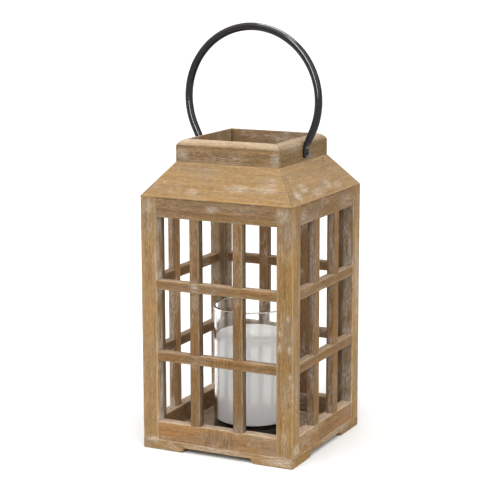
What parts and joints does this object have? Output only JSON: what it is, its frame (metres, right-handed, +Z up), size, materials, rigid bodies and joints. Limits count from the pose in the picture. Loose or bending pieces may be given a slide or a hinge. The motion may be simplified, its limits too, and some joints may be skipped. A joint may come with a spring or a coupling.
{
  "type": "lantern",
  "caption": "Square wooden candle lantern: latticed case, hipped roof with an open collar, swinging bar handle, and a pillar candle in a glass cylinder.",
  "frame": {"origin": "on the table, under the middle of the case", "axes": "+Z up, front towards -Y, the handle's pivot axis along X"},
  "size_m": [0.21, 0.21, 0.5394],
  "materials": {
    "weathered_wood": "fir, brushed along the grain and thinly whitewashed, then worn",
    "roof_wood": "fir, brushed along the grain, with less whitewash than the case",
    "blackened_steel": "satin black over steel bar",
    "black_stand": "matt black",
    "clear_glass": "clear, with a fire-rounded rim and a thick bottom",
    "candle_wax": "ivory wax, satin, slightly see-through at the top edge",
    "cotton_wick": "braided cotton, waxed and unburnt"
  },
  "bodies": {
    "case": {"front_plinth": "weathered_wood", "right_plinth": "weathered_wood", "back_plinth": "weathered_wood", "left_plinth": "weathered_wood", "floor_board": "weathered_wood", "front_left_post": "weathered_wood", "front_right_post": "weathered_wood", "back_right_post": "weathered_wood", "back_left_post": "weathered_wood", "front_top_rail": "weathered_wood", "front_bottom_rail": "weathered_wood", "right_top_rail": "weathered_wood", "right_bottom_rail": "weathered_wood", "back_top_rail": "weathered_wood", "back_bottom_rail": "weathered_wood", "left_top_rail": "weathered_wood", "left_bottom_rail": "weathered_wood", "front_upper_bar": "weathered_wood", "front_lower_bar": "weathered_wood", "right_upper_bar": "weathered_wood", "right_lower_bar": "weathered_wood", "back_upper_bar": "weathered_wood", "back_lower_bar": "weathered_wood", "left_upper_bar": "weathered_wood", "left_lower_bar": "weathered_wood", "front_muntin_1": "weathered_wood", "front_muntin_2": "weathered_wood", "right_muntin_1": "weathered_wood", "right_muntin_2": "weathered_wood", "back_muntin_1": "weathered_wood", "back_muntin_2": "weathered_wood", "left_muntin_1": "weathered_wood", "left_muntin_2": "weathered_wood", "front_roof_panel": "roof_wood", "right_roof_panel": "roof_wood", "back_roof_panel": "roof_wood", "left_roof_panel": "roof_wood", "front_collar_board": "weathered_wood", "right_collar_board": "weathered_wood", "back_collar_board": "weathered_wood", "left_collar_board": "weathered_wood", "pivot_screws": "blackened_steel", "glass_stand": "black_stand"},
    "handle": {"handle": "blackened_steel"},
    "glass": {"glass_cylinder": "clear_glass"},
    "candle": {"candle": "candle_wax", "wick": "cotton_wick"}
  },
  "joints": [
    {"name": "handle_swing", "type": "hinge", "parent": "case", "child": "handle", "pos_m": [0, 0, 0.38], "axis": [1, 0, 0], "range_deg": [-105, 105]},
    {"name": "glass_lift", "type": "slide", "parent": "case", "child": "glass", "axis": [0, 0, 1], "range_m": [0, 0.33]},
    {"name": "candle_lift", "type": "slide", "parent": "glass", "child": "candle", "axis": [0, 0, 1], "range_m": [0, 0.372]}
  ]
}
